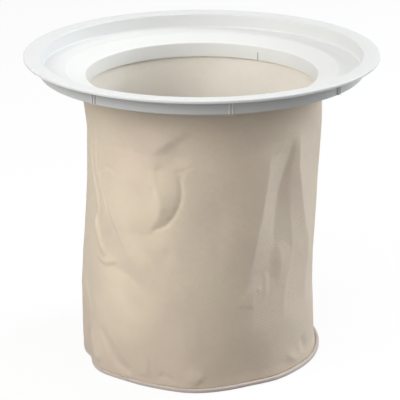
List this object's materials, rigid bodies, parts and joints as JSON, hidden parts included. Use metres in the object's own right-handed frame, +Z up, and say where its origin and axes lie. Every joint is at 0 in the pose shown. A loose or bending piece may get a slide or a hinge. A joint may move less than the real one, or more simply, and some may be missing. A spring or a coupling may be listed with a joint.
{
  "type": "dust collector filter bag",
  "caption": "Round cloth filter bag hanging from a moulded plastic carrier ring with a wide lip, a tray floor and a collar, for a canister dust extractor.",
  "frame": {"origin": "middle of the bag's flat bottom, where the standing bag rests", "axes": "+Z up along the bag and the ring, -Y towards the side seen from the front, +X to that side's right"},
  "size_m": [0.36, 0.36, 0.3209],
  "materials": {
    "ring_plastic": "white moulded plastic, satin",
    "bag_cloth": "cream woven filter cloth, matt",
    "disc_cloth": "cream woven filter cloth, matt",
    "binding_tape": "off-white woven tape",
    "hem_cord": "off-white braided cord",
    "sewing_thread": "off-white twisted thread"
  },
  "bodies": {
    "root": {"carrier_ring": "ring_plastic", "mouth_cord": "hem_cord", "bag_side_panel": "bag_cloth", "bag_bottom_disc": "disc_cloth", "bottom_binding_tape": "binding_tape", "bottom_stitching": "sewing_thread", "mouth_stitching": "sewing_thread", "seam_stitching_front": "sewing_thread", "seam_stitching_back": "sewing_thread"}
  },
  "joints": []
}
